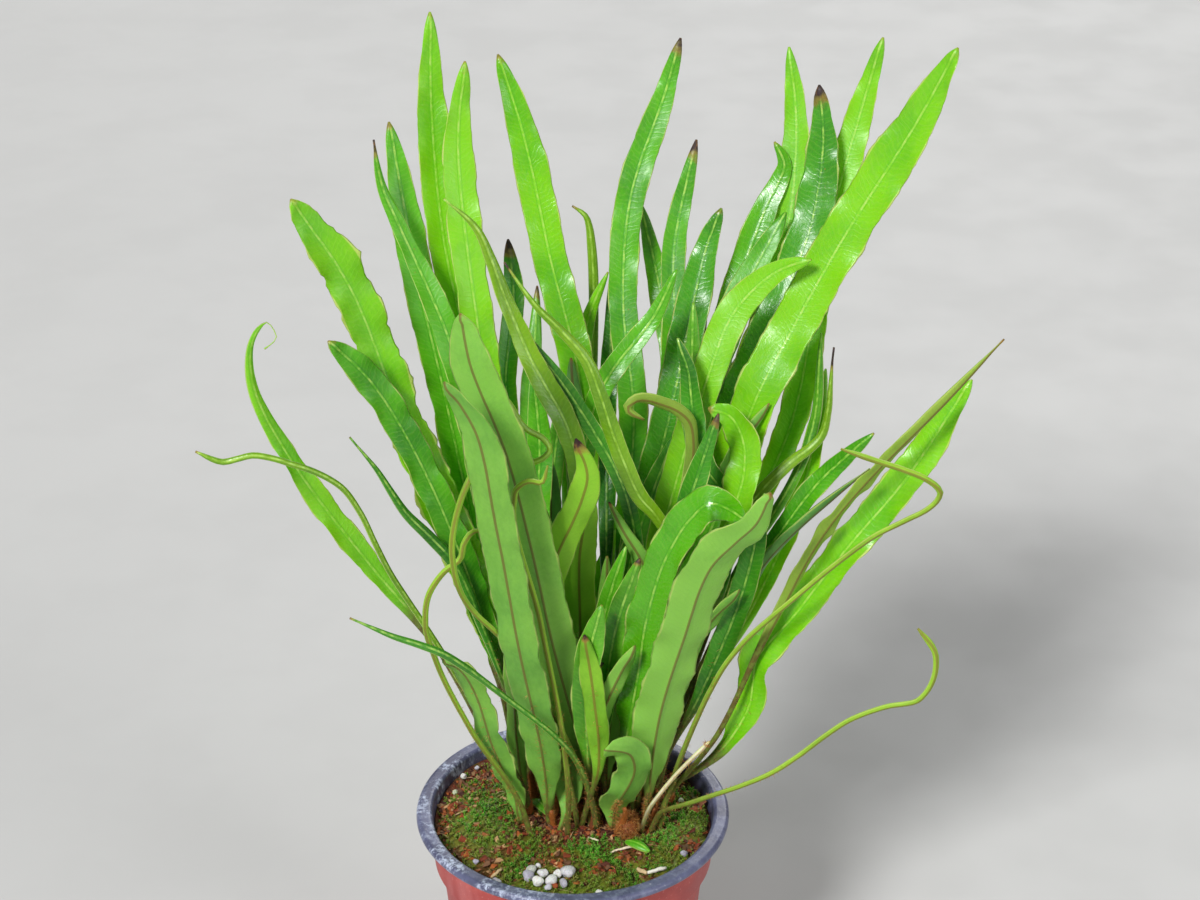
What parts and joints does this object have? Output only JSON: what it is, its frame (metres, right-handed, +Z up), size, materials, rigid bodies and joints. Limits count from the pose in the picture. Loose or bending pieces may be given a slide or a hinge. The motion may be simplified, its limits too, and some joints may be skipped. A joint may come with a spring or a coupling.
{
  "type": "potted fern",
  "caption": "Fern with long strap-shaped fronds, curled young fronds and moss, growing in a round nursery pot with a stepped collar and a rolled lip.",
  "frame": {"origin": "middle of the flat underside of the pot", "axes": "+Z up along the pot's axis, +Y from the front of the plant to its back, +X to the right as seen from the front"},
  "size_m": [0.2744, 0.1647, 0.3957],
  "materials": {
    "pot": "dusty terracotta outside, slate grey lip and inside with chalk marks",
    "potting_mix": "loose bark and peat with pumice",
    "moss": "soft tufts",
    "rhizome": "covered in orange-brown hairs",
    "leaf_lime": "glossy young blade",
    "leaf_mid": "glossy blade",
    "leaf_deep": "glossy bluish-green blade",
    "leaf_grey": "satin blade seen from its underside",
    "leaf_olive": "satin ageing blade",
    "leaf_straw": "dry blade or stub",
    "sprout": "soft unopened frond"
  },
  "bodies": {
    "root": {"pot": "pot", "potting_mix": "potting_mix", "moss_left": "moss", "moss_front": "moss", "moss_right": "moss", "rhizome": "rhizome", "frond_right_back": "leaf_lime", "frond_right_lime": "leaf_lime", "frond_tall_middle": "leaf_mid", "frond_short_dark": "leaf_deep", "frond_thin_hook": "leaf_olive", "frond_pale_lean": "leaf_grey", "frond_middle_tall": "leaf_lime", "frond_right_of_middle": "leaf_mid", "frond_hooked_gloss": "leaf_mid", "frond_tall_left": "leaf_lime", "frond_mid_right": "leaf_mid", "frond_left_back": "leaf_mid", "frond_broad_right": "leaf_deep", "frond_broad_middle": "leaf_deep", "frond_left_lime": "leaf_lime", "frond_left_hook": "leaf_mid", "frond_twin_back": "leaf_grey", "frond_arch_lime": "leaf_lime", "frond_diagonal": "leaf_mid", "frond_long_right": "leaf_lime", "frond_left_wavy": "leaf_lime", "frond_grey_twist": "leaf_grey", "frond_olive_bent": "leaf_olive", "frond_olive_long": "leaf_olive", "frond_left_second": "leaf_mid", "frond_twin_front": "leaf_deep", "frond_crinkled": "leaf_lime", "frond_small_right": "leaf_mid", "frond_middle_under": "leaf_lime", "frond_small_curl": "leaf_olive", "frond_olive_second": "leaf_olive", "frond_dark_blade": "leaf_deep", "frond_left_small": "leaf_deep", "frond_short_under": "leaf_grey", "frond_wavy_twist": "leaf_mid", "frond_low_back_right": "leaf_grey", "frond_left_curl": "leaf_lime", "frond_low_under": "leaf_grey", "frond_far_tendril": "leaf_olive", "frond_tan_leaf": "leaf_lime", "frond_front_under": "leaf_grey", "frond_long_lime": "leaf_lime", "frond_long_edge": "leaf_olive", "frond_gloss_front": "leaf_mid", "frond_dark_crossing": "leaf_grey", "frond_low_left_under": "leaf_grey", "frond_left_loop": "sprout", "frond_front_grey": "leaf_grey", "frond_front_right": "leaf_grey", "frond_folded_small": "leaf_grey", "frond_long_stipe": "leaf_deep", "crozier_right": "sprout", "crozier_low": "sprout", "cut_stipe": "leaf_straw"}
  },
  "joints": []
}
